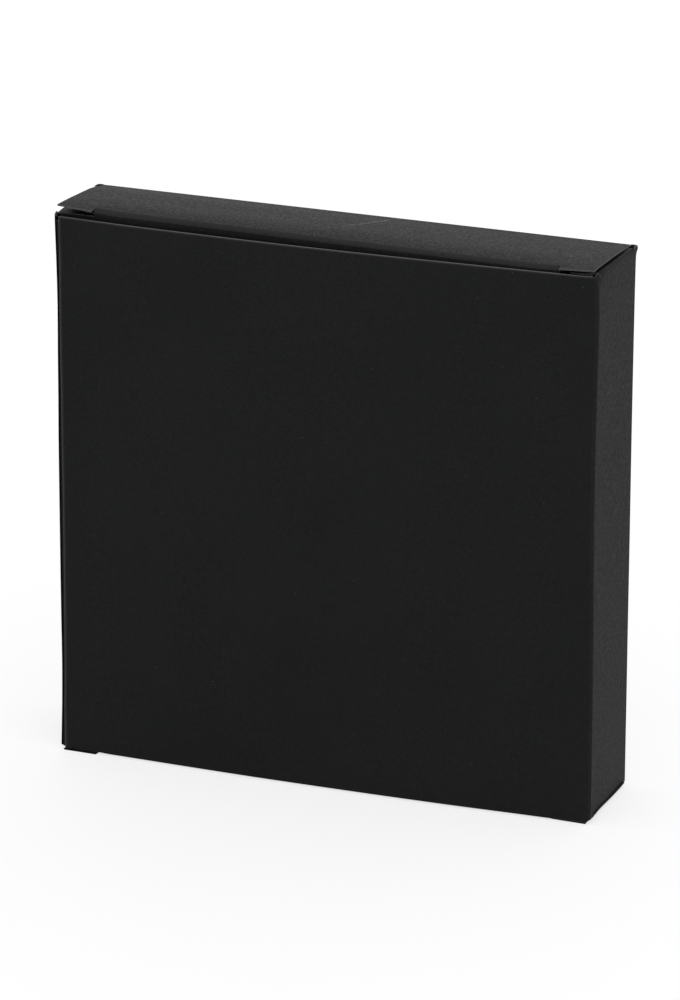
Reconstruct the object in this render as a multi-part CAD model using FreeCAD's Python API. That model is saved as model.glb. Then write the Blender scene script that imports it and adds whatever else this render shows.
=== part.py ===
import FreeCAD, Part
import math
import os
from collections import namedtuple

# Closed straight-tuck carton of dyed-through black card, standing upright, millimetres.
# The origin is the middle of the overall footprint, on the floor. +Z is up and the front panel faces -Y.
# The lid rests a little proud of its fully shut place, and higher at its left end than at its right.

# Card and folds
board = 0.45                # thickness of the card
fold_radius = 0.9           # outside radius of a square fold
tuck_fold_radius = 1.2      # outside radius of the softer fold between a lid and its tuck flap
kerf = 0.2                  # width that the cutting rule leaves at the inner end of a slit

# Tube
width = 153.0               # over the two side panels
depth = 31.4                # back panel's outside to the front panel's outside at its side edges
height = 152.4              # bottom panel's outside to the lid's outside at its hinge fold
front_bow_top = 2.4         # swell of the front panel at the middle of its top edge
front_bow_bottom = 1.5      # the same at its bottom edge
front_lift = 0.15           # bottom panel's inside to the front panel's lower edge
front_drop = 0.1            # front panel's upper edge below the lid's hinge fold
front_inset = 1.7           # left side panel's outside to the front panel's cut edge
corner_inset_top = 0.3      # lid's outside at its hinge fold to the upper ends of the tube's upright folds
corner_inset_bottom = 0.9   # bottom panel's outside to their lower ends

# Glued seam behind the front panel's left edge
glue_flap_width = 12.0
glue_flap_taper = 3.2       # how much each end of the glue flap runs in towards its free edge
glue_thickness = 0.1
glue_width = 7.0
glue_inset = 2.5            # seam fold to the band of glue
glue_end_gap = 9.0          # side panel's end to the end of the band of glue

# Lids and tuck flaps, the same at both ends
lid_inset = 1.8             # side panel's outside to the lid's side edge
slit_length = 9.7           # cut inwards from a lid's side edge, along the tuck fold
tab_reach = 2.5             # tuck fold to the front edge of the tabs beyond the slits
ear_inset = 1.5             # lid's side edge to the outer edge of a tuck flap's ear
tuck_depth = 12.0           # tuck fold's end to the tuck flap's free edge
tuck_corner_radius = 9.0

# How each end rests
lid_rise_left = 3.25        # top lid's front corners above its hinge fold
lid_rise_right = 1.85
lid_dome_left = 0.5         # crown of the top lid's side edges over their chords
lid_dome_right = 0.3
top_tuck_lean = 9.0         # degrees by which the top tuck flap leans inwards
bottom_tuck_lean = 12.0     # degrees by which the bottom one does

# Dust flaps, the same at all four corners
dust_gap = 0.1              # shut lid to dust flap
dust_length = 24.0          # fold to tip
dust_tuck_gap = 0.85        # tuck flap's inside at its fold to a dust flap's front edge
dust_shoulder = 6.6         # length of the wide root of the front edge
dust_step = 2.6             # setback of the front edge beyond the shoulder
dust_back_gap = 2.25        # back panel's inside to the root of the back edge
dust_taper = 28.0           # degrees by which the back edge runs in towards the tip
dust_corner_radius = 3.0

overrun = 5.0               # how far a cutting shape passes the card
line_tolerance = 1e-6       # a smaller swell than this counts as a straight edge

# Places that follow from the sizes
bow_reach = max(front_bow_top, front_bow_bottom)
side_x = width / 2
fold_x = side_x - fold_radius
front_y = (bow_reach - depth) / 2
back_y = (bow_reach + depth) / 2
hinge_y = back_y - fold_radius
seam_y = front_y + board + glue_thickness
front_low = board + front_lift
front_high = height - front_drop
dust_level = board + dust_gap
side_low = dust_level + fold_radius
side_high = height - side_low
corner_low = corner_inset_bottom
corner_high = height - corner_inset_top

lid_x = side_x - lid_inset
slit_x = lid_x - slit_length
fold_end_x = slit_x - kerf
ear_x = lid_x - ear_inset
tuck_fold_y = front_y + tab_reach
tuck_y = tuck_fold_y - tuck_fold_radius
fold_arc = (tuck_fold_radius - board / 2) * math.pi / 2
ear_drop = tab_reach - fold_arc
dust_front_y = tuck_y + board + dust_tuck_gap
dust_back_y = back_y - board - dust_back_gap

# An end of the tube: level of the lid's outside at its hinge fold, and +1 or -1 for which way is out
End = namedtuple("End", "level out rise_left rise_right dome_left dome_right lean")
top_end = End(height, 1, lid_rise_left, lid_rise_right, lid_dome_left, lid_dome_right, top_tuck_lean)
bottom_end = End(0, -1, 0, 0, 0, 0, bottom_tuck_lean)


def at(x, y, z):
    return FreeCAD.Vector(x, y, z)


def outward(end, height_out):
    """Level of a point that lies height_out beyond the lid's outside at its hinge fold."""
    return end.level + end.out * height_out


def block(x_range, y_range, z_range):
    low = at(min(x_range), min(y_range), min(z_range))
    high = at(max(x_range), max(y_range), max(z_range))
    return Part.makeBox(high.x - low.x, high.y - low.y, high.z - low.z, low)


def prism(corners, travel):
    outline = Part.makePolygon(corners + corners[:1])
    return Part.Face(outline).extrude(travel)


def arch(start, pull, finish):
    """Edge from start to finish, curved towards pull, or straight where pull lies in line with them."""
    swell = (pull - start).cross(finish - start).Length
    if swell < line_tolerance:
        return Part.makeLine(start, finish)
    curve = Part.BezierCurve()
    curve.setPoles([start, pull, finish])
    return curve.toShape()


def closed_wire(first, second):
    """Joins two edges that run the same way into a closed wire, with a straight edge at each end."""
    start = Part.makeLine(second.firstVertex().Point, first.firstVertex().Point)
    finish = Part.makeLine(first.lastVertex().Point, second.lastVertex().Point)
    return Part.Wire([first, finish, second, start])


def between(first_wire, last_wire):
    """Solid with straight lines from one section to the other."""
    return Part.makeLoft([first_wire, last_wire], True, True)


def fold(start, finish, first_way, second_way, radius):
    """Quarter ring of card round the line start to finish, from first_way round to second_way."""

    def section(centre):
        def ring_edge(ring_radius):
            diagonal = (first_way + second_way).normalize()
            points = [centre + way * ring_radius for way in (first_way, diagonal, second_way)]
            return Part.Arc(*points).toShape()

        return closed_wire(ring_edge(radius), ring_edge(radius - board))

    return between(section(start), section(finish))


# ---- tube ----

def bowed_layer(inset, thickness):
    """Layer of the swelling front wall, inset behind the front panel's outside."""

    def edge(z, bow, y):
        return arch(at(-fold_x, y, z), at(0, y - 2 * bow, z), at(fold_x, y, z))

    def section(z, bow):
        outer_y = front_y + inset
        return closed_wire(edge(z, bow, outer_y), edge(z, bow, outer_y + thickness))

    return between(section(front_low, front_bow_bottom), section(front_high, front_bow_top))


def cut_to_outline(layer, corners):
    """Keeps what lies within an outline seen from the front, given as (x, z) corners."""
    start_y = front_y - bow_reach - overrun
    outline = [at(x, start_y, z) for x, z in corners]
    return layer.common(prism(outline, at(0, depth + bow_reach, 0)))


def front_panel():
    left = front_inset - side_x
    corners = [(left, front_low), (fold_x, front_low), (fold_x, front_high), (left, front_high)]
    return cut_to_outline(bowed_layer(0, board), corners)


def glue_flap():
    free_x = glue_flap_width - fold_x
    corners = [
        (-fold_x, side_low),
        (free_x, side_low + glue_flap_taper),
        (free_x, side_high - glue_flap_taper),
        (-fold_x, side_high),
    ]
    return cut_to_outline(bowed_layer(board + glue_thickness, board), corners)


def seam_glue():
    near_x = glue_inset - fold_x
    far_x = near_x + glue_width
    low = side_low + glue_end_gap
    high = side_high - glue_end_gap
    corners = [(near_x, low), (far_x, low), (far_x, high), (near_x, high)]
    return cut_to_outline(bowed_layer(board, glue_thickness), corners)


def back_panel():
    return block((-fold_x, fold_x), (back_y - board, back_y), (fold_radius, height - fold_radius))


def side_panel(side, panel_front_y):
    """Side wall, cut back at both ends where its dust flaps fold off between the corners."""
    front_cut = dust_front_y - kerf
    back_cut = dust_back_y + kerf
    outline = [
        (panel_front_y, corner_low),
        (front_cut, corner_low),
        (front_cut, side_low),
        (back_cut, side_low),
        (back_cut, corner_low),
        (hinge_y, corner_low),
        (hinge_y, corner_high),
        (back_cut, corner_high),
        (back_cut, side_high),
        (front_cut, side_high),
        (front_cut, corner_high),
        (panel_front_y, corner_high),
    ]
    inside = side * (side_x - board)
    return prism([at(inside, y, z) for y, z in outline], at(side * board, 0, 0))


def upright_fold(side, y, facing):
    """Upright fold at a corner of the tube. facing is -1 towards the front and +1 towards the back."""
    start = at(side * fold_x, y, corner_low)
    finish = at(side * fold_x, y, corner_high)
    return fold(start, finish, at(side, 0, 0), at(0, facing, 0), fold_radius)


def make_tube():
    return {
        "front_panel": front_panel(),
        "back_panel": back_panel(),
        "left_side_panel": side_panel(-1, seam_y + fold_radius),
        "right_side_panel": side_panel(1, front_y + fold_radius),
        "glue_flap": glue_flap(),
        "seam_glue": seam_glue(),
        "front_right_crease": upright_fold(1, front_y + fold_radius, -1),
        "back_right_crease": upright_fold(1, hinge_y, 1),
        "back_left_crease": upright_fold(-1, hinge_y, 1),
        "glue_flap_crease": upright_fold(-1, seam_y + fold_radius, -1),
    }


# ---- lids and tuck flaps ----

def lid_section(end, x, rise, dome):
    """Side edge of a lid: a shallow arch from its hinge fold to its front edge."""
    middle_y = (hinge_y + front_y) / 2

    def edge(height_out):
        hinge = at(x, hinge_y, outward(end, height_out))
        crown = at(x, middle_y, outward(end, height_out + rise / 2 + 2 * dome))
        front = at(x, front_y, outward(end, height_out + rise))
        return arch(hinge, crown, front)

    return closed_wire(edge(0), edge(-board))


def tuck_fold_height(end, x):
    """How far the lid's outside lies beyond its hinge fold, at the tuck fold."""
    share = (hinge_y - tuck_fold_y) / (hinge_y - front_y)
    arch = 4 * share * (1 - share)
    left = end.rise_left * share + end.dome_left * arch
    right = end.rise_right * share + end.dome_right * arch
    return left + (right - left) * (x + lid_x) / (2 * lid_x)


def lid_panel(end):
    left = lid_section(end, -lid_x, end.rise_left, end.dome_left)
    right = lid_section(end, lid_x, end.rise_right, end.dome_right)
    reach = max(end.rise_left, end.rise_right) + overrun
    notch_z = (outward(end, -overrun), outward(end, reach))
    notch = block((-slit_x, slit_x), (front_y - overrun, tuck_fold_y), notch_z)
    return between(left, right).cut(notch)


def tuck_point(end, x, y, drop):
    """Point that lies drop below the end of the tuck fold, measured into the tube."""
    return at(x, y, outward(end, tuck_fold_height(end, x) - tuck_fold_radius - drop))


def tuck_flap(end):
    lean_run = tuck_depth * math.tan(math.radians(end.lean))

    def section(x):
        root = tuck_point(end, x, tuck_y, 0)
        free = tuck_point(end, x, tuck_y + lean_run, tuck_depth)
        outer = Part.makeLine(root, free)
        inner = outer.translated(at(0, board, 0))
        return closed_wire(outer, inner)

    sheet = between(section(-ear_x), section(ear_x))
    return sheet.common(Part.Face(tuck_outline(end)).extrude(at(0, depth, 0)))


def tuck_outline(end):
    """Outline from the front: ears under the slits, round corners at the free edge."""
    start_y = front_y - overrun
    corner_x = ear_x - tuck_corner_radius
    corner_drop = tuck_depth - tuck_corner_radius
    arc_share = math.sqrt(0.5)

    def point(x, drop):
        return tuck_point(end, x, start_y, drop)

    def corner(side):
        middle_x = corner_x + tuck_corner_radius * arc_share
        middle_drop = corner_drop + tuck_corner_radius * arc_share
        points = (point(side * ear_x, corner_drop), point(side * middle_x, middle_drop))
        return Part.Arc(*points, point(side * corner_x, tuck_depth)).toShape()

    upper = [
        point(-ear_x, corner_drop),
        point(-ear_x, ear_drop),
        point(-slit_x, ear_drop),
        point(-fold_end_x, 0),
        point(fold_end_x, 0),
        point(slit_x, ear_drop),
        point(ear_x, ear_drop),
        point(ear_x, corner_drop),
    ]
    free_edge = Part.makeLine(point(corner_x, tuck_depth), point(-corner_x, tuck_depth))
    return Part.Wire(Part.makePolygon(upper).Edges + [corner(1), free_edge, corner(-1)])


def tuck_fold(end):
    start, finish = (tuck_point(end, x, tuck_fold_y, 0) for x in (-fold_end_x, fold_end_x))
    return fold(start, finish, at(0, 0, end.out), at(0, -1, 0), tuck_fold_radius)


def hinge_fold(end):
    level = outward(end, -fold_radius)
    start = at(-lid_x, hinge_y, level)
    finish = at(lid_x, hinge_y, level)
    return fold(start, finish, at(0, 0, end.out), at(0, 1, 0), fold_radius)


# ---- dust flaps ----

def dust_flap(end, side):
    """Flap from a side panel: wide shoulder, stepped front edge, back edge tapering to the tip."""
    tip_back_y = dust_back_y - dust_length * math.tan(math.radians(dust_taper))
    corners = [
        (0, dust_front_y),
        (dust_shoulder, dust_front_y),
        (dust_shoulder, dust_front_y + dust_step),
        (dust_length, dust_front_y + dust_step),
        (dust_length, tip_back_y),
        (0, dust_back_y),
    ]
    level = outward(end, -dust_level)
    outline = [at(side * (fold_x - along), y, level) for along, y in corners]
    flap = prism(outline, at(0, 0, -end.out * board))
    tip_x = side * (fold_x - dust_length)
    upright = [edge for edge in flap.Edges if edge.BoundBox.XLength + edge.BoundBox.YLength < board]
    tip_edges = [edge for edge in upright if abs(edge.CenterOfMass.x - tip_x) < board]
    return flap.makeFillet(dust_corner_radius, tip_edges)


def dust_fold(end, side):
    level = outward(end, -side_low)
    start = at(side * fold_x, dust_front_y, level)
    finish = at(side * fold_x, dust_back_y, level)
    return fold(start, finish, at(side, 0, 0), at(0, 0, end.out), fold_radius)


def make_end(end, lid_name, prefix):
    """All pieces of one end. prefix names its tuck flap, dust flaps and creases."""
    return {
        lid_name: lid_panel(end),
        prefix + "_hinge_crease": hinge_fold(end),
        prefix + "_tuck_flap": tuck_flap(end),
        prefix + "_tuck_crease": tuck_fold(end),
        prefix + "_left_dust_flap": dust_flap(end, -1),
        prefix + "_left_dust_crease": dust_fold(end, -1),
        prefix + "_right_dust_flap": dust_flap(end, 1),
        prefix + "_right_dust_crease": dust_fold(end, 1),
    }


def main():
    os.makedirs("parts", exist_ok=True)
    pieces = {
        **make_tube(),
        **make_end(top_end, "lid_panel", "top"),
        **make_end(bottom_end, "bottom_panel", "bottom"),
    }
    for name, shape in pieces.items():
        shape.exportStep(os.path.join("parts", name + ".step"))
        print(name, len(shape.Solids), round(shape.Volume, 2), shape.isValid())


main()
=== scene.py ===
import math

import bpy
from mathutils import Matrix, Vector


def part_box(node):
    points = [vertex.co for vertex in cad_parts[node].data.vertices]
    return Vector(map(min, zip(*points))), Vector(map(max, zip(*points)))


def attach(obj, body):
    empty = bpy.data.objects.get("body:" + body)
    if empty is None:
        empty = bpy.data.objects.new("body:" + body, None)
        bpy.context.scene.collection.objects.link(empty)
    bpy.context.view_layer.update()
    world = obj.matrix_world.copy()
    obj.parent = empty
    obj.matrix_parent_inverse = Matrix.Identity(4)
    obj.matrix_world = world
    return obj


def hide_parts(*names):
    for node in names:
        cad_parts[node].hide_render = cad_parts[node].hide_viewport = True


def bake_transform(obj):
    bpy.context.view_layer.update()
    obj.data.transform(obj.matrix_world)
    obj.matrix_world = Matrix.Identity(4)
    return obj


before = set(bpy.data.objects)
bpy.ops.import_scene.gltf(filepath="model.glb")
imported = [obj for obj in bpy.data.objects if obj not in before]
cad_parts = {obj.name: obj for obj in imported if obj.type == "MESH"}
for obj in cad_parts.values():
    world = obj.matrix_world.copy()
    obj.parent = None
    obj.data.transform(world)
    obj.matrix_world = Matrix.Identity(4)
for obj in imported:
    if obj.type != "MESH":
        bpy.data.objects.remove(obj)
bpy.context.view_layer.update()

# Closed tuck-end carton of black card, standing upright. Metres; +Z up, the front panel faces -Y.
# Each piece stands for one solid of the frame and takes its place from it.
scene = bpy.context.scene
mm = 0.001
tiny = 0.01 * mm          # places nearer than this count as one
sameSpot = 1e-6           # the same, where a fold's own rows lie closer together
kerf = 0.2 * mm           # width of a cut
tuckRadius = 1.2 * mm     # of the fold between a lid and its tuck flap


def low(node):
    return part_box(node)[0]


def high(node):
    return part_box(node)[1]


# Places that the pieces share
cardThickness = high("back_panel").y - low("back_panel").y
sideX = high("right_side_panel").x
foldX = high("front_panel").x
frontY = high("front_panel").y - cardThickness
backY = high("back_panel").y
hingeY = high("lid_panel").y
seamY = low("glue_flap_crease").y
topLevel = high("top_hinge_crease").z
bottomLevel = low("bottom_hinge_crease").z
foldRadius = sideX - foldX
cornerLow = low("front_right_crease").z
cornerHigh = high("front_right_crease").z

print("frame loaded")


# Working a mesh

def dropSelection():
    if bpy.context.object and bpy.context.object.mode != "OBJECT":
        bpy.ops.object.mode_set(mode="OBJECT")
    bpy.ops.object.select_all(action="DESELECT")


def focus(piece):
    dropSelection()
    piece.select_set(True)
    bpy.context.view_layer.objects.active = piece


def startEditing(piece, kind="VERT"):
    focus(piece)
    bpy.ops.object.mode_set(mode="EDIT")
    bpy.ops.mesh.select_mode(type=kind)


def stopEditing():
    bpy.ops.object.mode_set(mode="OBJECT")


def pick(piece, kind, test):   # leaves the piece in edit mode, with what passes the test selected
    startEditing(piece, kind)
    bpy.ops.mesh.select_all(action="DESELECT")
    stopEditing()
    mesh = piece.data
    if kind == "VERT":
        found = [(vertex, vertex.co) for vertex in mesh.vertices]
    elif kind == "EDGE":
        ends = [[mesh.vertices[index].co for index in edge.vertices] for edge in mesh.edges]
        found = [(edge, (first + last) / 2) for edge, (first, last) in zip(mesh.edges, ends)]
    else:
        found = [(face, face.center) for face in mesh.polygons]
    for item, middle in found:
        item.select = bool(test(middle))
    bpy.ops.object.mode_set(mode="EDIT")


turns = {
    "front": (90, 0, 0),
    "back": (-90, 0, 0),
    "right": (90, 0, 90),
    "left": (90, 0, -90),
    "up": (0, 0, 0),
    "down": (180, 0, 0),
}


def newSheet(name, corner, opposite, facing, materials):
    dropSelection()
    middle = (Vector(corner) + Vector(opposite)) / 2
    span = Vector([abs(a - b) or 1 for a, b in zip(corner, opposite)])
    turn = [math.radians(angle) for angle in turns[facing]]
    bpy.ops.mesh.primitive_plane_add(size=1, location=middle, rotation=turn)
    piece = bpy.context.object
    piece.name = name
    bpy.ops.object.transform_apply(location=True, rotation=True, scale=True)
    bpy.ops.object.mode_set(mode="EDIT")
    bpy.ops.mesh.select_mode(type="VERT")
    bpy.ops.mesh.select_all(action="SELECT")
    bpy.ops.transform.resize(value=span, center_override=middle)
    stopEditing()
    for material in materials:
        piece.data.materials.append(material)
    return piece


def cutAcross(piece, axis, places):
    normal = Vector([float(axis == letter) for letter in "xyz"])
    startEditing(piece)
    for place in places:
        bpy.ops.mesh.select_all(action="SELECT")
        bpy.ops.mesh.bisect(plane_co=normal * place, plane_no=normal)
    stopEditing()


def cutAway(piece, point, normal):   # what lies on the side that the normal points to goes
    startEditing(piece)
    bpy.ops.mesh.select_all(action="SELECT")
    bpy.ops.mesh.bisect(plane_co=point, plane_no=normal, clear_outer=True)
    stopEditing()


def moveVertices(piece, test, shift):
    pick(piece, "VERT", test)
    bpy.ops.transform.translate(value=shift)
    stopEditing()


def removeFaces(piece, test):
    pick(piece, "FACE", test)
    bpy.ops.mesh.delete(type="FACE")
    stopEditing()


def removeVertices(piece, test):
    pick(piece, "VERT", test)
    bpy.ops.mesh.delete(type="VERT")
    stopEditing()


def roundCorner(piece, test, size, steps):
    pick(piece, "VERT", test)
    bpy.ops.mesh.bevel(offset=size, segments=steps, affect="VERTICES")
    stopEditing()


def markJoint(piece, test):   # edges that meet the next piece stay square
    pick(piece, "EDGE", test)
    bpy.ops.mesh.mark_seam()
    stopEditing()


def applyModifier(piece, kind, **settings):
    focus(piece)
    modifier = piece.modifiers.new("work", kind)
    for name, value in settings.items():
        setattr(modifier, name, value)
    bpy.ops.object.modifier_apply(modifier=modifier.name)


def bendWith(cages, piece):
    for cage in cages:
        applyModifier(piece, "LATTICE", object=cage)


def faceAwayFrom(piece, centre):
    faces = piece.data.polygons
    if sum((face.center - Vector(centre(face.center))).dot(face.normal) for face in faces) < 0:
        startEditing(piece)
        bpy.ops.mesh.select_all(action="SELECT")
        bpy.ops.mesh.flip_normals()
        stopEditing()


# The second finish goes on the cut edges, and a third, where a piece has one, on the inner face
def thicken(piece, thickness=cardThickness):
    inside = 2 if len(piece.data.materials) > 2 else 0
    applyModifier(
        piece, "SOLIDIFY", thickness=thickness, offset=-1, use_even_offset=True,
        material_offset=inside, material_offset_rim=1,
    )


def colourJoints(piece):   # a rim that meets the next piece is no cut edge
    joints = {edge.key for edge in piece.data.edges if edge.use_seam}
    for face in piece.data.polygons:
        if face.material_index == 1 and sum(key in joints for key in face.edge_keys) > 1:
            face.material_index = 0


cutEdge = {"round": 0.08 * mm, "steps": 2, "sharp": 50}


def roundCutEdges(piece):
    startEditing(piece, "EDGE")
    bpy.ops.mesh.select_all(action="DESELECT")
    bpy.ops.mesh.edges_select_sharp(sharpness=math.radians(cutEdge["sharp"]))
    stopEditing()
    for edge in piece.data.edges:
        edge.select = edge.select and not edge.use_seam
    bpy.ops.object.mode_set(mode="EDIT")
    bpy.ops.mesh.bevel(offset=cutEdge["round"], segments=cutEdge["steps"], affect="EDGES", material=1)
    stopEditing()


def finishSheet(piece, node, cages, thickness=cardThickness, smooth=20):
    bendWith(cages, piece)
    thicken(piece, thickness)
    colourJoints(piece)
    roundCutEdges(piece)
    focus(piece)
    bpy.ops.object.shade_smooth_by_angle(angle=math.radians(smooth))
    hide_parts(node)
    print(piece.name, "made,", len(piece.data.polygons), "faces")
    return piece


def steps(start, finish, count):   # places that divide a stretch into equal parts
    return [start + (finish - start) * step / count for step in range(1, count)]


# Quarter-round surface: the line start to finish, spun about the line that lies inward of it
def curvedStrip(name, start, finish, inward, axis, angle, rows, materials, ringSteps=8):
    start, finish, inward = Vector(start), Vector(finish), Vector(inward)
    lengthwise = max(range(3), key=lambda index: abs(finish[index] - start[index]))
    letter = "xyz"[lengthwise]
    flat = [index for index in range(3) if index != lengthwise and inward[index] == 0][0]
    facing = {0: "right", 1: "back", 2: "up"}[flat]
    piece = newSheet(name, start, finish + inward, facing, materials)
    cutAcross(piece, letter, rows)
    side = [index for index in range(3) if index not in (lengthwise, flat)][0]
    removeVertices(piece, lambda place: abs(place[side] - start[side]) > foldRadius / 4)
    startEditing(piece)
    bpy.ops.mesh.select_all(action="SELECT")
    turn = math.radians(-angle)   # the spin runs the other way when Blender has no window
    bpy.ops.mesh.spin(steps=ringSteps, angle=turn, center=start + inward, axis=axis)
    bpy.ops.mesh.select_all(action="SELECT")
    bpy.ops.mesh.remove_doubles(threshold=sameSpot / 10)
    stopEditing()
    return piece


# Cages that pull neighbouring pieces out of flat together

def inMetres(lengths):
    return [length * mm for length in lengths]


# Box of control points, each shifted by what shiftOf gives, in mm, for its share of the way through the box
def newCage(name, corner, opposite, counts, shiftOf):
    dropSelection()
    corner, opposite = Vector(corner), Vector(opposite)
    bpy.ops.object.add(type="LATTICE", location=(corner + opposite) / 2)
    cage = bpy.context.object
    cage.name = name
    size = opposite - corner
    cage.scale = size
    grid = cage.data
    grid.points_u, grid.points_v, grid.points_w = counts
    for letter in "uvw":
        setattr(grid, "interpolation_type_" + letter, "KEY_CATMULL_ROM")
    for point in grid.points:
        share = point.co + Vector((0.5, 0.5, 0.5))
        shift = Vector(shiftOf(share)) * mm
        point.co_deform = point.co + Vector([a / b for a, b in zip(shift, size)])
    return cage


def along(values, share):   # value at a share of the way through evenly spaced values
    place = share * (len(values) - 1)
    index = min(int(place + sameSpot), len(values) - 2)
    return values[index] + (values[index + 1] - values[index]) * (place - index)


tubeShape = {   # mm
    "bowTop": (0, 1.3, 1.88, 2.3, 2.36, 2.05, 1.48, 0.8, 0),           # front panel's swell, left to right
    "bowBottom": (0, 0.45, 1.0, 1.42, 1.49, 1.4, 1.07, 0.42, 0),
    # how far the corners stand in from the full width, upwards
    "leftWaist": (0, 0.35, 0.5, 0.42, 0.37, 0.34, 0.32, 0.31, 0.4, 0.43, 0.52, 0.32, 0),
    "frontRightWaist": (0.3, 0.3, 0.4, 0.5, 0.62, 0.8, 0.95, 1.05, 1.05, 1.0, 0.85, 0.7, 1.0),
    "backRightWaist": (0.5, 0.52, 0.53, 0.56, 0.58, 0.58, 0.6, 0.64, 0.66, 0.66, 0.64, 0.6, 0.5),
    "hingeLift": (0.1, -0.2),                                        # top of the back panel, left and right
}


def tubeShift(share):
    bowBelow = along(tubeShape["bowBottom"], share.x)
    bowAbove = along(tubeShape["bowTop"], share.x)
    bow = (1 - share.z) * bowBelow + share.z * bowAbove
    if share.x < 0.5:
        waist = along(tubeShape["leftWaist"], share.z)
    else:
        front = along(tubeShape["frontRightWaist"], share.z)
        waist = front + (along(tubeShape["backRightWaist"], share.z) - front) * share.y
    lift = along(tubeShape["hingeLift"], share.x) * share.y * (share.z > 0.99)
    return waist * (1 - 2 * share.x), -bow * (1 - share.y), lift   # the waist goes inwards from either side


tubeCage = newCage("tubeCage", (-sideX, frontY, 0), (sideX, backY, topLevel), (9, 2, 13), tubeShift)

shoulderShape = {   # mm
    "start": 140,                                   # level where the side panels begin to stretch up
    # what the dust flaps gain at their folds, front to back
    "lift": (0, 1.0, 1.05, 0.85, 0.7, 0.6, 0.5, 0.42, 0.35, 0.3, 0.2),
}


def shoulderShift(share):
    return 0, 0, along(shoulderShape["lift"], share.y) * share.z


shoulderCage = newCage(
    "shoulderCage", (-sideX, frontY, shoulderShape["start"] * mm), (sideX, backY, topLevel), (2, 11, 2),
    shoulderShift,
)

cornerShape = {   # mm, the front right corner's top, pressed in under the lid
    "from": (72.5, -14.5, 148.8), "to": (76.5, -9.1, 152.8), "shift": (-1.9, 0.25, 0.1),
}


def cornerShift(share):
    weight = share.x * (1 - share.y) ** 1.5 * share.z ** 2
    return [shift * weight for shift in cornerShape["shift"]]


cornerCage = newCage(
    "cornerCage", inMetres(cornerShape["from"]), inMetres(cornerShape["to"]), (3, 4, 5), cornerShift
)

rearShape = {   # mm, the back right corner's top, splayed out, upwards
    "from": (74, 11.5, 148.8), "to": (76.5, 16.9, 152.3), "splay": (0, 0.1, 0.3, 0.62, 0.5),
}


def rearShift(share):
    return along(rearShape["splay"], share.z) * share.x * share.y, 0, 0


rearCage = newCage("rearCage", inMetres(rearShape["from"]), inMetres(rearShape["to"]), (3, 3, 5), rearShift)

footShape = {   # mm, the right side's foot, drawn up, front to back
    "from": (73.6, -14.5, 0), "to": (76.5, 16.9, 10), "lift": (0.75, 1.05, 0.45, 0.05, 0),
}


def footShift(share):
    return 0, 0, along(footShape["lift"], share.y) * share.x ** 3 * (1 - share.z)


footCage = newCage("footCage", inMetres(footShape["from"]), inMetres(footShape["to"]), (4, 5, 2), footShift)

droopShape = {   # mm, the right dust flap sags towards its tip, clear of the lid
    "from": (54, -14.5, 149), "to": (74.8, 16.9, 153), "droop": 2.2,
}


def droopShift(share):
    return 0, 0, -droopShape["droop"] * (1 - share.x)


droopCage = newCage(
    "droopCage", inMetres(droopShape["from"]), inMetres(droopShape["to"]), (2, 2, 2), droopShift
)

lidShape = {   # mm, back to front
    "reach": 20,                                 # how far down the cage takes in the tuck flap
    "riseLeft": (0.1, 1.42, 2.14, 2.75, 3.2),    # above the hinge fold
    "riseRight": (-0.2, 0.5, 1.1, 1.5, 1.85),
    "spreadLeft": (0, 0.1, 0.2, 0.3, 0.4),       # outwards
    "spreadRight": (-0.18, -0.18, -0.18, -0.18, -0.22),
}


def lidShift(share):
    left = along(lidShape["riseLeft"], 1 - share.y)
    right = along(lidShape["riseRight"], 1 - share.y)
    spread = -along(lidShape["spreadLeft"], 1 - share.y), along(lidShape["spreadRight"], 1 - share.y)
    return spread[share.x > 0.5], 0, left + (right - left) * share.x


lidCage = newCage(
    "lidCage", (low("lid_panel").x, frontY, topLevel - lidShape["reach"] * mm),
    (high("lid_panel").x, hingeY, topLevel), (2, 5, 2), lidShift,
)
cages = [tubeCage, shoulderCage, cornerCage, rearCage, footCage, droopCage, lidCage]
print("cages made")


# Finishes

class Flow:
    def __init__(self, tree, socket):
        self.tree = tree
        self.socket = socket

    def feed(self, socket, value):
        if isinstance(value, Flow):
            self.tree.links.new(value.socket, socket)
        else:
            socket.default_value = value

    def node(self, kind, settings, inputs, output=0):
        made = self.tree.nodes.new(kind)
        for name, value in settings.items():
            setattr(made, name, value)
        for name, value in inputs.items():
            self.feed(made.inputs[name], value)
        return Flow(self.tree, made.outputs[output])

    def maths(self, operation, first, second=0.0):
        return self.node("ShaderNodeMath", {"operation": operation}, {0: first, 1: second})

    def __add__(self, other):
        return self.maths("ADD", self, other)

    def __radd__(self, other):
        return self.maths("ADD", other, self)

    def __sub__(self, other):
        return self.maths("SUBTRACT", self, other)

    def __rsub__(self, other):
        return self.maths("SUBTRACT", other, self)

    def __mul__(self, other):
        return self.maths("MULTIPLY", self, other)

    def __rmul__(self, other):
        return self.maths("MULTIPLY", other, self)

    def __truediv__(self, other):
        return self.maths("DIVIDE", self, other)

    def clamped(self):
        return self.node("ShaderNodeClamp", {}, {"Value": self})

    def noise(self, scale, detail=2.0, stretch=(1, 1, 1), turn=(0, 0, 0)):
        place = self.node("ShaderNodeMapping", {}, {"Vector": self, "Scale": stretch, "Rotation": turn})
        return self.node("ShaderNodeTexNoise", {}, {"Vector": place, "Scale": scale, "Detail": detail})

    def mix(self, first, second):
        made = self.tree.nodes.new("ShaderNodeMix")
        made.data_type = "RGBA"
        self.feed(made.inputs["Factor"], self)
        self.feed(made.inputs["A"], first)
        self.feed(made.inputs["B"], second)
        return Flow(self.tree, [socket for socket in made.outputs if socket.type == "RGBA"][0])


def parted(place, index):   # one coordinate of a place, 0 for x, 1 for y and 2 for z
    return place.node("ShaderNodeSeparateXYZ", {}, {"Vector": place}, output=index)


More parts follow.
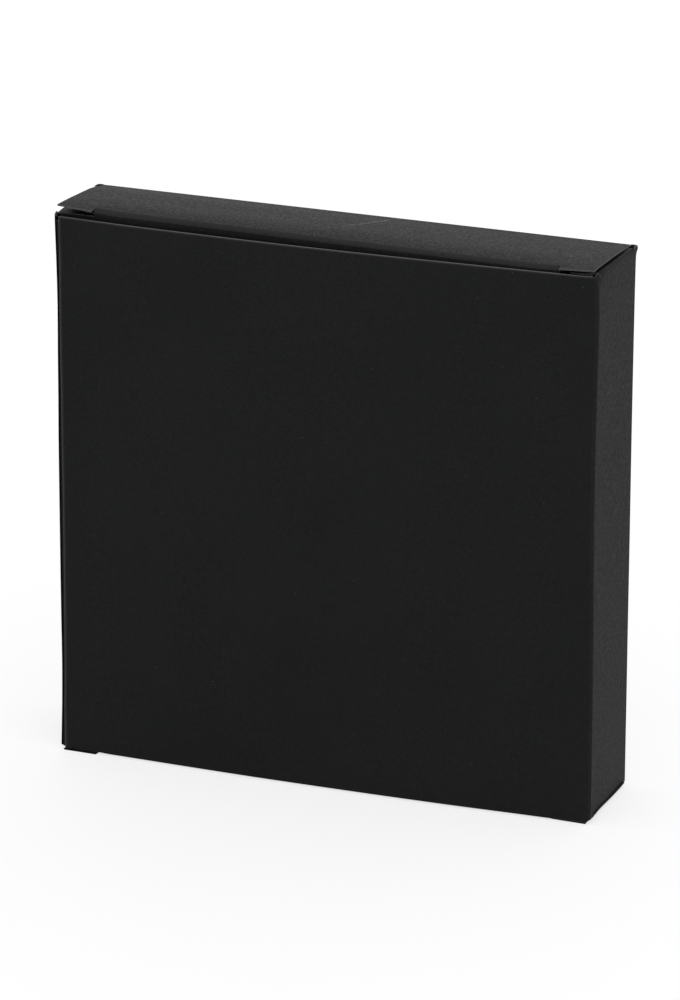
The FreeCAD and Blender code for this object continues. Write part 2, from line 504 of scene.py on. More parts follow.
def patchesOf(place, mark):   # breaks a mark up into uneven patches
    patches = place.noise(mark["patchScale"], mark["patchDetail"])
    return (patches * mark["patchGain"] + mark["patchFloor"]).clamped()


def specksOf(place, look):   # stray pale fibres, one in a few cells
    cell = {"Vector": place, "Scale": look["speckScale"]}
    near = place.node("ShaderNodeTexVoronoi", {}, cell)
    chance = place.node("ShaderNodeTexVoronoi", {}, cell, output=1)
    chosen = place.node("ShaderNodeSeparateColor", {}, {"Color": chance})
    close = place.maths("LESS_THAN", near, look["speckSize"])
    return close * place.maths("LESS_THAN", chosen, look["speckShare"])


def scratchOf(place, scratch):   # a fine bowed line from one point to another
    (startX, startY), (endX, endY) = scratch["from"], scratch["to"]
    length = math.dist(scratch["from"], scratch["to"])
    alongX, alongY = (endX - startX) / length, (endY - startY) / length
    x = parted(place, 0) / mm - startX
    y = parted(place, 1) / mm - startY
    run = (x * alongX + y * alongY) / length
    bulge = run * (1 - run) * 4 * scratch["bulge"]
    off = place.maths("ABSOLUTE", y * alongX - x * alongY - bulge)
    within = place.maths("GREATER_THAN", run, 0) * place.maths("LESS_THAN", run, 1)
    return (1 - off / scratch["width"]).clamped() * within * patchesOf(place, scratch)


def paleRimOf(place, paleRim):   # paler rim along a sheet's left and top cut edges
    spot = Flow(place.tree, place.tree.nodes.new("ShaderNodeTexCoord").outputs["UV"])
    fromLeft = parted(spot, 0) * paleRim["size"][0]
    fromTop = (1 - parted(spot, 1)) * paleRim["size"][1]
    nearLeft = (1 - fromLeft / paleRim["left"]).clamped()
    nearTop = (1 - fromTop / paleRim["top"]).clamped()
    near = place.maths("MAXIMUM", nearLeft, nearTop)
    return near * near * patchesOf(place, paleRim)


def wearOf(place, wear):   # rubbed line down a fold, fading upwards
    off = place.maths("ABSOLUTE", parted(place, 1) / mm - wear["y"])
    faded = (1 - parted(place, 2) / mm / wear["height"]).clamped()
    return (1 - off / wear["width"]).clamped() * faded * patchesOf(place, wear)


marksOf = {"scratch": scratchOf, "paleRim": paleRimOf, "wear": wearOf}


noiseMean = 0.5


def newFinish(name, look):
    material = bpy.data.materials.new(name)
    material.use_nodes = True
    tree = material.node_tree
    shader = tree.nodes["Principled BSDF"]
    place = Flow(tree, tree.nodes.new("ShaderNodeTexCoord").outputs["Object"])
    grain = place.noise(look["grainScale"], 3, look["stretch"])
    polish = place.noise(look["polishScale"], 2, look["stretch"])
    upright = place.noise(look["fibreScale"], 2, *look["uprightFibres"])
    lying = place.noise(look["fibreScale"], 2, *look["lyingFibres"])
    cloud = place.noise(look["cloudScale"], 1)
    mixed = grain * look["grainShare"] + (upright + lying) * look["fibreShare"]
    tone = (mixed - noiseMean) * look["contrast"] + (cloud - noiseMean) * look["cloud"] + noiseMean
    colour = tone.clamped().mix(look["dark"] + (1,), look["light"] + (1,))
    if "speckShare" in look:
        colour = specksOf(place, look).mix(colour, look["speck"] + (1,))
    for mark, maskOf in marksOf.items():
        if mark in look:
            colour = maskOf(place, look[mark]).mix(colour, look[mark]["colour"] + (1,))
    place.feed(shader.inputs["Base Color"], colour)
    roughness = (polish - noiseMean) * look["polish"] + look["roughness"]
    place.feed(shader.inputs["Roughness"], roughness.clamped())
    shader.inputs["Specular IOR Level"].default_value = look["specular"]
    height = place.noise(look["reliefScale"], 3) * look["reliefShare"] + upright * (1 - look["reliefShare"])
    bump = place.node(
        "ShaderNodeBump", {}, {"Strength": look["bump"], "Distance": look["relief"], "Height": height}
    )
    place.feed(shader.inputs["Normal"], bump)
    return material


faceLook = {
    "dark": (0.0057, 0.006, 0.0061), "light": (0.0198, 0.0203, 0.0201), "roughness": 0.5, "specular": 0.0275,
    "grainScale": 2600, "fibreScale": 3200, "cloudScale": 35, "contrast": 1.65, "cloud": 0.2,
    "stretch": (1, 0.45, 1), "polishScale": 1500, "polish": 0.36,   # the board's grain runs round the tube
    # stretch and turn
    "uprightFibres": ((1, 1, 0.22), (0.3, 0.5, 0)), "lyingFibres": ((0.25, 1, 1), (0, 0.4, 0.3)),
    "grainShare": 0.5, "fibreShare": 0.25,
    "bump": 1.0, "relief": 0.16 * mm, "reliefScale": 1050, "reliefShare": 0.75,
    "speck": (0.045, 0.045, 0.045), "speckScale": 420, "speckSize": 0.07, "speckShare": 0.1,
}
edgeLook = dict(
    faceLook, dark=(0.05, 0.05, 0.049), light=(0.14, 0.138, 0.132), roughness=0.8, specular=0.1, polish=0.2
)
edgeLook.pop("speckShare")
lidEdgeLook = dict(edgeLook, dark=(0.038, 0.038, 0.037), light=(0.11, 0.108, 0.104))
# painted shade: a darker copy of the cut-edge finish, for the flaps' and back panel's edges in the lid's
# shade
flapEdgePaintedShadeLook = dict(edgeLook, dark=(0.028, 0.028, 0.027), light=(0.085, 0.084, 0.08))
# a paler rim along the front panel's left and top cut edges, fading inwards
paleRim = {   # mm
    "size": (151.2, 152.4), "left": 0.95, "top": 0.75, "colour": (0.055, 0.055, 0.054),
    "patchScale": 400, "patchDetail": 2, "patchGain": 1.2, "patchFloor": 0.4,
}
frontLook = dict(faceLook, paleRim=paleRim)
foldLook = dict(faceLook, light=(0.024, 0.0245, 0.0243))
# painted light: a paler copy of the card for the tuck fold, which sits in the lid's shade
tuckPaintedLightLook = dict(faceLook, dark=(0.013, 0.0133, 0.0135), light=(0.036, 0.0365, 0.036))
# painted shade: a near-black, barely shiny copy of the card, for the glue flap's fold recessed behind the
# front panel
shadeLook = dict(faceLook, dark=(0.002, 0.002, 0.002), light=(0.004, 0.004, 0.004), specular=0.008)
shadeLook.pop("speckShare")
scratch = {   # mm
    "from": (0.9, -0.3), "to": (8.4, 13.0), "bulge": -1.3, "width": 0.75, "colour": (0.105, 0.105, 0.105),
    "patchScale": 900, "patchDetail": 2, "patchGain": 2, "patchFloor": -0.4,
}
lidLook = dict(faceLook, scratch=scratch)
wear = {   # mm
    "y": -13.78, "width": 0.3, "height": 48, "colour": (0.08, 0.079, 0.076),
    "patchScale": 500, "patchDetail": 3, "patchGain": 2.5, "patchFloor": -0.7,
}
cornerLook = dict(foldLook, wear=wear)
glueLook = dict(
    edgeLook, dark=(0.35, 0.33, 0.27), light=(0.42, 0.4, 0.33), roughness=0.4, specular=0.4, bump=0.2
)

cardFace = newFinish("cardFace", faceLook)
cardFront = newFinish("cardFront", frontLook)
cardEdge = newFinish("cardEdge", edgeLook)
cardLidEdge = newFinish("cardLidEdge", lidEdgeLook)
cardFlapEdgePaintedShade = newFinish("cardFlapEdgePaintedShade", flapEdgePaintedShadeLook)
cardFold = newFinish("cardFold", foldLook)
cardTuckPaintedLight = newFinish("cardTuckPaintedLight", tuckPaintedLightLook)
cardShade = newFinish("cardShade", shadeLook)
cardLid = newFinish("cardLid", lidLook)
cardCorner = newFinish("cardCorner", cornerLook)
seamGlue = newFinish("seamGlue", glueLook)
sheetFinish = (cardFace, cardEdge)
foldFinish = (cardFold, cardEdge)
shadeFinish = (cardShade, cardEdge)
# flaps and the back panel: their cut edges carry the painted shade
flapFinish = (cardFace, cardFlapEdgePaintedShade)
# the tuck fold's finish: its paler face is painted light, its darker cut edges painted shade
tuckPaintedLightFinish = (cardTuckPaintedLight, cardFlapEdgePaintedShade, cardFace)
frontFinish = (cardFront, cardEdge, cardFace)
topLidFinish = (cardLid, cardLidEdge, cardFace)
footLidFinish = (cardFace, cardShade)
# the front right corner's cut edges carry the painted shade too
cornerFinish = (cardCorner, cardFlapEdgePaintedShade)
print("finishes made")


# Tube

tube = {
    "rows": 24, "columns": 32, "backColumns": 8, "flapColumns": 4, "glueColumns": 3,
    "nip": 0.15 * mm,                                # rounding of the front panel's free lower corner
    "cornerRuns": (3 * mm, 1.4 * mm),                # extra columns beside the front right fold
    "frontHang": 0.15 * mm, "hangFrom": -66 * mm, "hangTo": 70 * mm,   # the front panel's lower edge
    "flapHang": 0.75 * mm, "flapTaper": 3.2 * mm,    # the glue flap's lower end, and how its ends run in
    "earRise": 0.8 * mm, "earStep": 0.15 * mm,       # the back panel's corners beside the lid's fold
    # mm, how far the front panel's cut edge stands out past its line, upwards
    "edgeWave": (0.05, 0.45, 0.35, 0.2, 0.15, 0.1, 0.1, 0.2, 0.28, 0.45, 0.6, 0.25, 0.05),
}
dustFlap = {
    "shoulder": 6.6 * mm, "step": 2.6 * mm, "taper": 28, "tipRadius": 3 * mm, "rows": 8,   # degrees of taper
    "columns": (2, 4, 10, 14, 18),   # mm from the fold
}
tubeRows = steps(0, topLevel, tube["rows"])
shoulderRows = [row * mm for row in (141, 143, 145, 147, 149)]
cornerRows = [row * mm for row in (149.7, 150.3, 151.4)]


def finishTube(piece, node, cages, **more):
    finishSheet(piece, node, cages, **more)
    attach(piece, "tube")


def makeFrontPanel():
    lowest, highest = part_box("front_panel")
    corner, opposite = (lowest.x, frontY, lowest.z), (highest.x, frontY, highest.z)
    piece = newSheet("frontPanel", corner, opposite, "front", frontFinish)
    columns = steps(-foldX, foldX, tube["columns"])[:-1] + [foldX - run for run in tube["cornerRuns"]]
    cutAcross(piece, "x", columns)
    cutAcross(piece, "z", tubeRows + shoulderRows + cornerRows)
    for level in [lowest.z] + tubeRows + shoulderRows + cornerRows + [highest.z]:
        atEdge = lambda place: place.x < lowest.x + tiny and abs(place.z - level) < tiny
        moveVertices(piece, atEdge, (-along(tube["edgeWave"], level / topLevel) * mm, 0, 0))
    foot = lambda place: tube["hangFrom"] < place.x < tube["hangTo"] and place.z < lowest.z + tiny
    moveVertices(piece, foot, (0, 0, -tube["frontHang"]))
    bottomLeft = lambda place: place.x < lowest.x + tiny and place.z < lowest.z + tiny
    roundCorner(piece, bottomLeft, tube["nip"], 3)
    markJoint(piece, lambda place: place.x > highest.x - tiny)
    finishTube(piece, "front_panel", [tubeCage, cornerCage, footCage])


def makeBackPanel():
    lowest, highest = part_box("back_panel")
    corner, opposite = (lowest.x, backY, lowest.z), (highest.x, backY, highest.z)
    piece = newSheet("backPanel", corner, opposite, "back", flapFinish)
    cutAcross(piece, "x", steps(-foldX, foldX, tube["backColumns"]))
    cutAcross(piece, "z", tubeRows + cornerRows)
    hinge = high("lid_panel").x
    cutAcross(piece, "x", (-hinge, hinge, -hinge - tube["earStep"], hinge + tube["earStep"]))
    ears = lambda place: abs(place.x) > hinge + tiny and place.z > highest.z - tiny
    moveVertices(piece, ears, (0, 0, tube["earRise"]))
    side = lambda place: abs(place.x) > foldX - tiny
    ends = lambda place: abs(place.x) < hinge and not lowest.z + tiny < place.z < highest.z - tiny
    markJoint(piece, lambda place: side(place) or ends(place))
    finishTube(piece, "back_panel", [tubeCage, rearCage, footCage])


def makeSidePanel(name, node, x, panelFrontY, facing):
    panelLow, panelHigh = low(node).z, high(node).z
    flapFront = low("top_right_dust_crease").y - kerf
    flapBack = high("top_right_dust_crease").y + kerf
    foldLow, foldHigh = high("bottom_right_dust_crease").z, low("top_right_dust_crease").z
    piece = newSheet(name, (x, panelFrontY, panelLow), (x, hingeY, panelHigh), facing, sheetFinish)
    cutAcross(piece, "z", tubeRows + shoulderRows + cornerRows + [foldLow, foldHigh])
    mouthRows = [flapFront, flapFront + kerf, flapBack - kerf, flapBack]
    cutAcross(piece, "y", mouthRows + steps(flapFront, flapBack, dustFlap["rows"]))
    inMouth = lambda place: flapFront < place.y < flapBack and not foldLow < place.z < foldHigh
    removeFaces(piece, inMouth)
    corners = lambda place: place.y < panelFrontY + tiny or place.y > hingeY - tiny
    mouth = lambda place: flapFront + kerf < place.y < flapBack - kerf and (
        abs(place.z - foldLow) < tiny or abs(place.z - foldHigh) < tiny)
    markJoint(piece, lambda place: corners(place) or mouth(place))
    finishTube(piece, node, [tubeCage, shoulderCage, cornerCage, rearCage, footCage])


# Quarter-round corner from a side panel, at x, to the wall in front of it or behind it
def makeUprightCrease(name, node, x, y, facing, shape, finish=foldFinish):
    inward = -foldRadius if x > 0 else foldRadius
    turn = 90 if (x > 0) == (facing > 0) else -90
    start, end = (x, y, cornerLow), (x, y, cornerHigh)
    rows = tubeRows + shoulderRows + cornerRows
    piece = curvedStrip(name, start, end, (inward, 0, 0), (0, 0, 1), turn, rows, finish)
    faceAwayFrom(piece, lambda place: (x + inward, y, place.z))
    ends = lambda place: not cornerLow + tiny < place.z < cornerHigh - tiny
    markJoint(piece, lambda place: not ends(place) and (
        abs(place.x - x) < sameSpot or abs(place.y - y - facing * foldRadius) < sameSpot))
    finishTube(piece, node, shape)


def makeGlueFlap():
    crease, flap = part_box("glue_flap_crease"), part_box("glue_flap")
    taper = tube["flapTaper"]
    sideLow = flap[0].z - tube["flapHang"]
    sideHigh = flap[1].z
    near, free = -foldX, flap[1].x
    piece = newSheet("glueFlap", (near, seamY, sideLow), (free, seamY, sideHigh), "front", sheetFinish)
    cutAway(piece, (near, 0, sideLow), (taper, 0, -(free - near)))
    cutAway(piece, (near, 0, sideHigh), (taper, 0, free - near))
    cutAcross(piece, "x", steps(near, free, tube["flapColumns"]))
    cutAcross(piece, "z", tubeRows)
    markJoint(piece, lambda place: place.x < near + tiny)
    finishTube(piece, "glue_flap", [tubeCage])


def makeSeamGlue():
    lowest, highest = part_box("seam_glue")
    y = frontY + cardThickness
    corner, opposite = (lowest.x, y, lowest.z), (highest.x, y, highest.z)
    band = newSheet("seamGlueBand", corner, opposite, "front", (seamGlue, seamGlue))
    cutAcross(band, "x", steps(lowest.x, highest.x, tube["glueColumns"]))
    cutAcross(band, "z", tubeRows)
    markJoint(band, lambda place: True)
    finishSheet(band, "seam_glue", [tubeCage], thickness=seamY - y)
    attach(band, "tube")


makeFrontPanel()
makeBackPanel()
makeSidePanel("rightSidePanel", "right_side_panel", sideX, frontY + foldRadius, "right")
makeSidePanel("leftSidePanel", "left_side_panel", -sideX, seamY + foldRadius, "left")
makeUprightCrease(
    "frontRightCrease", "front_right_crease", sideX, frontY + foldRadius, -1,
    [tubeCage, shoulderCage, cornerCage, footCage], cornerFinish,
)
makeUprightCrease(
    "backRightCrease", "back_right_crease", sideX, hingeY, 1, [tubeCage, shoulderCage, rearCage, footCage]
)
makeUprightCrease("backLeftCrease", "back_left_crease", -sideX, hingeY, 1, [tubeCage, shoulderCage])
makeUprightCrease(
    "glueFlapCrease", "glue_flap_crease", -sideX, seamY + foldRadius, -1,
    [tubeCage, shoulderCage], shadeFinish,
)
makeGlueFlap()
makeSeamGlue()
print("tube made")


# Lids, tuck flaps and dust flaps

ends = {
    "top": {
        "lid": "lid_panel", "lidBody": "lid", "tuckBody": "lid_tuck",
        "level": topLevel, "out": 1, "facing": "up", "lean": 9, "cages": [lidCage],   # degrees of lean
        "tabDroop": (0, 0.75, 0.7, 0.2),    # mm, at the tabs' four front corners, left to right
        "sag": 0.72, "slitSag": 0.45,       # mm, how far the tuck fold hangs, and at the slits
        "tabReach": (0, 0, 0, 0),           # mm, how far those corners stand forward
        "tabSlide": (0, 0, 0, 0),           # mm, and how far to the right
        "belly": ((0.97, 0.33), (2, 0.5), (3.2, 0.4)),   # mm down the flap and how far it stands out there
        "earLift": (0, 0.8), "earReach": (1.2, 0.6), "finish": topLidFinish,   # mm, left and right
        # dust folds, left and right: mm out of place at the start, its change along the fold, and mm of bend
        "dustBend": ((0.8, 0.027, 0.3), (1.5, 0.05, 0.35)),
    },
    "bottom": {
        "lid": "bottom_panel", "lidBody": "bottom_lid", "tuckBody": "bottom_tuck",
        "level": bottomLevel, "out": -1, "facing": "down", "lean": 12, "cages": [],
        "tabDroop": (0, 0, 0, 0), "sag": 0, "slitSag": 0,
        "tabReach": (0.5, 0.75, -0.6, -0.3), "tabSlide": (-0.35, -0.5, 0, 0),
        "belly": (), "earLift": (0, 0), "earReach": (0, 0), "finish": footLidFinish,
        "dustBend": ((0, 0, 0.275), (0, 0, 0.275)),
    },
}
lidPanel = {
    "rows": 12, "columns": 24,
    "sagShares": (1, 0.5, 0.17),   # how much of the sag the first rows take, from the fold on
}
hingeCrease = {"columns": 8, "bendFrom": 0.1 * mm, "bendRun": 0.3 * mm}
tuckFlap = {
    "depth": 12 * mm, "cornerRadius": 9 * mm, "cornerSteps": 10, "rows": 3,
    "earDrop": 0.97 * mm, "earRoot": 1.5 * mm, "earHeight": 4 * mm, "holeEnd": 67.6 * mm,
    "earForward": 0.7,   # of its lift
}
tuckCrease = {
    "sagEnd": 1 * mm, "bendInset": 0.05 * mm, "hem": 1 * mm,
    "profile": (   # mm inwards and down, from the lid's plane to the flap's
        (-0.1, -0.02), (-0.25, -0.12), (-0.3, -0.2), (-0.2, -0.18),
        (-0.13, -0.18), (-0.1, -0.2), (-0.08, -0.2), (-0.04, -0.1),
    ),
}


def sagFold(piece, end, share, chosen):
    inner = high("top_tuck_crease").x - tuckCrease["sagEnd"]
    if end["sag"]:
        moveVertices(piece, chosen, (0, 0, -end["slitSag"] * share * mm))
        between = lambda place: chosen(place) and abs(place.x) < inner
        moveVertices(piece, between, (0, 0, (end["slitSag"] - end["sag"]) * share * mm))


def makeLid(prefix, end):
    lowest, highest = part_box(end["lid"])
    foldY = high(prefix + "_tuck_crease").y
    slitX = high(prefix + "_tuck_crease").x + kerf
    level = end["level"]
    piece = newSheet(
        prefix + "Lid", (lowest.x, foldY, level), (highest.x, hingeY, level), end["facing"], end["finish"]
    )
    cutAcross(piece, "x", [-slitX, slitX, -slitX + kerf, slitX - kerf])
    cutAcross(piece, "x", steps(-slitX, slitX, lidPanel["columns"]))
    cutAcross(piece, "y", steps(foldY, hingeY, lidPanel["rows"]))
    pick(piece, "EDGE", lambda place: place.y < foldY + tiny and abs(place.x) > slitX)
    bpy.ops.mesh.extrude_edges_move(TRANSFORM_OT_translate={"value": (0, frontY - foldY, 0)})
    stopEditing()
    corners = (lowest.x, -slitX, slitX, highest.x)
    for x, droop, reach, slide in zip(corners, end["tabDroop"], end["tabReach"], end["tabSlide"]):
        atCorner = lambda place: abs(place.x - x) < tiny and place.y < frontY + tiny
        if droop or reach or slide:
            moveVertices(piece, atCorner, (slide * mm, -reach * mm, -droop * mm))
    for row, share in enumerate(lidPanel["sagShares"]):
        rowY = foldY + row * (hingeY - foldY) / lidPanel["rows"]
        sagFold(piece, end, share, lambda place: abs(place.y - rowY) < tiny and abs(place.x) < slitX + tiny)
    hinge = lambda place: place.y > hingeY - tiny
    fold = lambda place: place.y < foldY + tiny and abs(place.x) < slitX - kerf
    markJoint(piece, lambda place: hinge(place) or fold(place) and place.y > foldY - tiny)
    finishSheet(piece, end["lid"], end["cages"])
    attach(piece, end["lidBody"])


def makeHingeCrease(prefix, end):
    node = prefix + "_hinge_crease"
    lowest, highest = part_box(node)
    level, out = end["level"], end["out"]
    columns = steps(lowest.x, highest.x, hingeCrease["columns"])
    piece = curvedStrip(
        prefix + "HingeCrease", (lowest.x, hingeY, level), (highest.x, hingeY, level),
        (0, 0, -out * foldRadius), (1, 0, 0), -90 * out, columns, foldFinish,
    )
    faceAwayFrom(piece, lambda place: (place.x, hingeY, level - out * foldRadius))
    atEnd = lambda place: abs(place.x) > highest.x - tiny
    markJoint(piece, lambda place: not atEnd(place) and (
        abs(place.z - level) < sameSpot or abs(place.y - hingeY - foldRadius) < sameSpot))
    finishSheet(piece, node, [tubeCage] if out > 0 else [])
    inwards = foldRadius - cardThickness / 2 - hingeCrease["bendFrom"]
    start = Vector((0, backY - cardThickness / 2, level - out * inwards))
    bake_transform(piece)


def makeTuckCrease(prefix, end):
    node = prefix + "_tuck_crease"
    lowest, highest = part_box(node)
    level, out = end["level"], end["out"]
    corner, opposite = (lowest.x, highest.y, level), (highest.x, highest.y + tuckCrease["hem"], level)
    # the fold takes the paler card, painted light where the lid shades it
    piece = newSheet(prefix + "TuckCrease", corner, opposite, "up", tuckPaintedLightFinish)
    cutAcross(piece, "x", steps(lowest.x, highest.x, lidPanel["columns"]))
    removeVertices(piece, lambda place: place.y > highest.y + tiny)   # leaves a line of edges to draw out
    startEditing(piece, "EDGE")
    bpy.ops.mesh.select_all(action="SELECT")
    for run, fall in tuckCrease["profile"]:
        bpy.ops.mesh.extrude_edges_move(TRANSFORM_OT_translate={"value": (0, run * mm, fall * out * mm)})
    stopEditing()
    faceAwayFrom(piece, lambda place: (place.x, highest.y, level - out * tuckRadius))
    atEnd = lambda place: abs(place.x) > highest.x - tiny
    markJoint(piece, lambda place: not atEnd(place) and (
        place.y > highest.y - sameSpot or abs(place.z - level + out * tuckRadius) < sameSpot))
    sagFold(piece, end, 1, lambda place: True)
    finishSheet(piece, node, end["cages"])
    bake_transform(piece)


def makeTuckFlap(prefix, end):
    node = prefix + "_tuck_flap"
    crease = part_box(prefix + "_tuck_crease")
    level, out = end["level"], end["out"]
    y = crease[0].y
    rootZ = level - out * tuckRadius
    depth, earDrop = tuckFlap["depth"], tuckFlap["earDrop"]
    earX = high(node).x
    foldEndX = crease[1].x
    freeZ = rootZ - out * depth
    piece = newSheet(prefix + "TuckFlap", (-earX, y, rootZ), (earX, y, freeZ), "front", flapFinish)
    lean = depth * math.tan(math.radians(end["lean"]))
    atFreeEdge = lambda place: abs(place.z - freeZ) < tiny
    moveVertices(piece, atFreeEdge, (0, lean, 0))
    roundCorner(piece, atFreeEdge, tuckFlap["cornerRadius"], tuckFlap["cornerSteps"])
    cutAcross(piece, "x", [-foldEndX, foldEndX, foldEndX + kerf, -foldEndX - kerf])
    cutAcross(piece, "z", [rootZ - out * earDrop] + steps(rootZ - out * earDrop, freeZ, tuckFlap["rows"]))
    removeFaces(piece, lambda place: abs(place.x) > foldEndX and abs(place.z - rootZ) < earDrop)
    cutAcross(piece, "x", steps(-foldEndX, foldEndX, lidPanel["columns"]))
    if end["belly"]:
        cutAcross(piece, "z", [rootZ - out * drop * mm for drop, bulge in end["belly"][1:]])
    for drop, bulge in end["belly"]:
        bellyZ = rootZ - out * drop * mm
        inBelly = lambda place: abs(place.x) < foldEndX - tiny and abs(place.z - bellyZ) < tiny
        moveVertices(piece, inBelly, (0, -bulge * mm, 0))
    fromRoot = lambda place: abs(place.z - rootZ)
    for side, start, lift in zip((-1, 1), (foldEndX, tuckFlap["holeEnd"]), end["earLift"]):
        if lift:
            cutAcross(piece, "x", (side * start, side * (start + kerf)))
            onEar = lambda place: side * place.x > start + tiny and fromRoot(place) < tuckFlap["earRoot"]
            moveVertices(piece, onEar, (0, -tuckFlap["earForward"] * lift * mm, lift * mm))
    for side, reach in zip((-1, 1), end["earReach"]):
        if reach:
            atEarEnd = lambda place: side * place.x > earX - tiny and fromRoot(place) < tuckFlap["earHeight"]
            moveVertices(piece, atEarEnd, (side * reach * mm, 0, 0))
    markJoint(piece, lambda place: fromRoot(place) < tiny)
    sagFold(piece, end, 1, lambda place: True)
    finishSheet(piece, node, end["cages"])
    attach(piece, end["tuckBody"])


def makeDustFlap(prefix, sideName, side, end):
    node = prefix + "_" + sideName + "_dust_flap"
    lowest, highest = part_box(node)
    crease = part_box(prefix + "_" + sideName + "_dust_crease")
    out = end["out"]
    level = highest.z if out > 0 else lowest.z
    frontEdge, backEdge = crease[0].y, crease[1].y
    tipX = side * (foldX - (highest.x - lowest.x))
    name = prefix + sideName.capitalize() + "DustFlap"
    corner, opposite = (side * foldX, frontEdge, level), (tipX, backEdge, level)
    piece = newSheet(name, corner, opposite, end["facing"], sheetFinish)
    shoulderX = side * (foldX - dustFlap["shoulder"])
    stepY = frontEdge + dustFlap["step"]
    cutAcross(piece, "x", [shoulderX])
    cutAcross(piece, "y", [stepY])
    removeFaces(piece, lambda place: side * place.x < side * shoulderX and place.y < stepY)
    taper = math.radians(dustFlap["taper"])
    cutAway(piece, (side * foldX, backEdge, 0), (-side * math.sin(taper), math.cos(taper), 0))
    roundCorner(piece, lambda place: abs(place.x - tipX) < tiny, dustFlap["tipRadius"], 6)
    cutAcross(piece, "y", steps(stepY, backEdge, dustFlap["rows"]))
    cutAcross(piece, "x", [side * (foldX - run * mm) for run in dustFlap["columns"]])
    markJoint(piece, lambda place: abs(place.x - side * foldX) < tiny)
    shape = [tubeCage, shoulderCage, cornerCage, rearCage] if out > 0 else [footCage]
    finishSheet(piece, node, shape + [droopCage] * (out > 0 and side > 0))
    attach(piece, prefix + "_" + sideName + "_flap")


def makeDustCrease(prefix, sideName, side, end):
    node = prefix + "_" + sideName + "_dust_crease"
    lowest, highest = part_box(node)
    out = end["out"]
    level = highest.z if out > 0 else lowest.z
    name = prefix + sideName.capitalize() + "DustCrease"
    piece = curvedStrip(
        name, (side * foldX, lowest.y, level), (side * foldX, highest.y, level), (0, 0, -out * foldRadius),
        (0, 1, 0), 90 * side * out, steps(lowest.y, highest.y, dustFlap["rows"]), foldFinish,
    )
    faceAwayFrom(piece, lambda place: (side * foldX, place.y, level - out * foldRadius))
    atEnd = lambda place: not lowest.y + tiny < place.y < highest.y - tiny
    markJoint(piece, lambda place: not atEnd(place) and (
        abs(place.z - level) < sameSpot or abs(abs(place.x) - sideX) < sameSpot))
    finishSheet(piece, node, [tubeCage, shoulderCage, cornerCage, rearCage] if out > 0 else [footCage])
    stretch, slope, run = end["dustBend"][side > 0]
    start = Vector((side * sideX, 0, level - out * (foldRadius - cardThickness - stretch * mm)))
    across = Vector((-side, slope, out)) * run * mm
    prefix + "_" + sideName + "_flap"
    start + across
    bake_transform(piece)


for prefix, end in ends.items():
    makeLid(prefix, end)
    makeHingeCrease(prefix, end)
    makeTuckCrease(prefix, end)
    makeTuckFlap(prefix, end)
    for sideName, side in (("left", -1), ("right", 1)):
        makeDustFlap(prefix, sideName, side, end)
        makeDustCrease(prefix, sideName, side, end)

print("ends made")

dropSelection()
for cage in cages:
    bpy.data.objects.remove(cage)


# Studio

viewpoint = {
    "target": (-0.72, 1.08, 76.68),   # mm, what the middle of the picture looks at
    "azimuth": 20.283,                # degrees from straight ahead, towards +X
    "elevation": 19.730,
    "roll": 0.224,
    "distance": 1588.0,
    "lens": 213.66,
    "sensor": 36,
    "sight": 50,                      # metres
}


def placeCamera(view):
    bpy.ops.object.camera_add()
    camera = bpy.context.object
    camera.name = "camera"
    azimuth, elevation = math.radians(view["azimuth"]), math.radians(view["elevation"])
    level = math.cos(elevation)
    back = Vector((math.sin(azimuth) * level, -math.cos(azimuth) * level, math.sin(elevation)))
    camera.location = (Vector(view["target"]) + back * view["distance"]) * mm
    turn = back.to_track_quat("Z", "Y") @ Matrix.Rotation(math.radians(view["roll"]), 3, "Z").to_quaternion()
    camera.rotation_euler = turn.to_euler()
    camera.data.lens = view["lens"]
    camera.data.sensor_width = view["sensor"]
    camera.data.clip_end = view["sight"]
    scene.camera = camera


placeCamera(viewpoint)

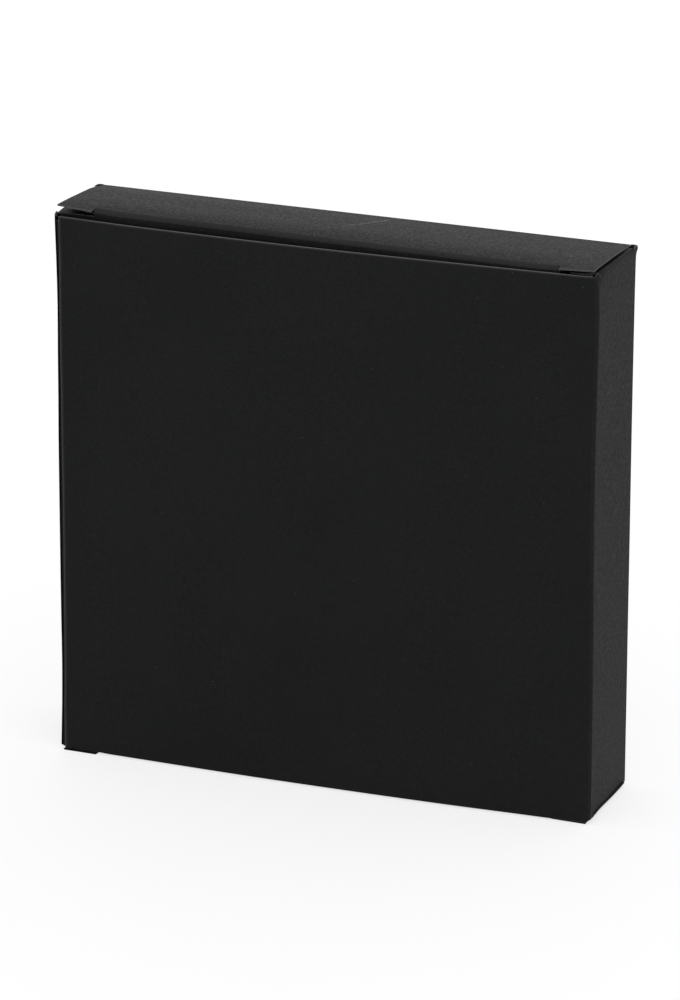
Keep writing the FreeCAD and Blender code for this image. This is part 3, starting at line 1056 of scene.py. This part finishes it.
studio = {
    "world": 0.92,
    "floor": 0.8,
    "floorSize": 12,
    "floorLevel": -0.1 * mm,   # just clear of the card
    "clearing": 0.7,           # how much of its shadow the floor loses to the eye
    "backLight": {"place": (-0.45, 1.25, 0.75), "size": (0.9, 0.6), "power": 2.3},
    "topLight": {"place": (0.6, -0.6, 1.4), "size": (1.2, 1.2), "power": 4},
}


def newLight(name, look):
    bpy.ops.object.light_add(type="AREA", location=look["place"])
    light = bpy.context.object
    light.name = name
    light.data.shape = "RECTANGLE"
    light.data.size, light.data.size_y = look["size"]
    light.data.energy = look["power"]
    towards = Vector(look["place"]) - Vector((0, 0, topLevel / 2))
    light.rotation_euler = towards.to_track_quat("Z", "Y").to_euler()


def newFloor():
    dropSelection()
    bpy.ops.mesh.primitive_plane_add(size=studio["floorSize"], location=(0, 0, studio["floorLevel"]))
    floor = bpy.context.object
    floor.name = "floor"
    pale = bpy.data.materials.new("floorWhite")
    pale.use_nodes = True
    tree = pale.node_tree
    shader = tree.nodes["Principled BSDF"]
    shader.inputs["Roughness"].default_value = 0.9
    shader.inputs["Specular IOR Level"].default_value = 0
    rays = tree.nodes.new("ShaderNodeLightPath")
    seen = Flow(tree, rays.outputs["Is Camera Ray"])
    bounced = Flow(tree, rays.outputs["Is Glossy Ray"]) + Flow(tree, rays.outputs["Is Transmission Ray"])
    shown = (seen + bounced).clamped()
    seen.feed(shader.inputs["Base Color"], shown.mix((studio["floor"],) * 3 + (1,), (1, 1, 1, 1)))
    white = seen.node("ShaderNodeEmission", {}, {"Color": (1, 1, 1, 1), "Strength": 1})
    shadow = Flow(tree, shader.outputs["BSDF"])
    both = seen.node("ShaderNodeMixShader", {}, {0: shown * studio["clearing"], 1: shadow, 2: white})
    seen.feed(tree.nodes["Material Output"].inputs["Surface"], both)
    floor.data.materials.append(pale)


def newWorld():
    world = bpy.data.worlds.new("studio")
    scene.world = world
    world.use_nodes = True
    tree = world.node_tree
    background = tree.nodes["Background"]
    background.inputs["Color"].default_value = (1, 1, 1, 1)
    seen = Flow(tree, tree.nodes.new("ShaderNodeLightPath").outputs["Is Camera Ray"])
    seen.feed(background.inputs["Strength"], seen * (1 - studio["world"]) + studio["world"])


newFloor()
newWorld()
newLight("backLight", studio["backLight"])
newLight("topLight", studio["topLight"])
scene.view_settings.view_transform = "Standard"
print("studio made")
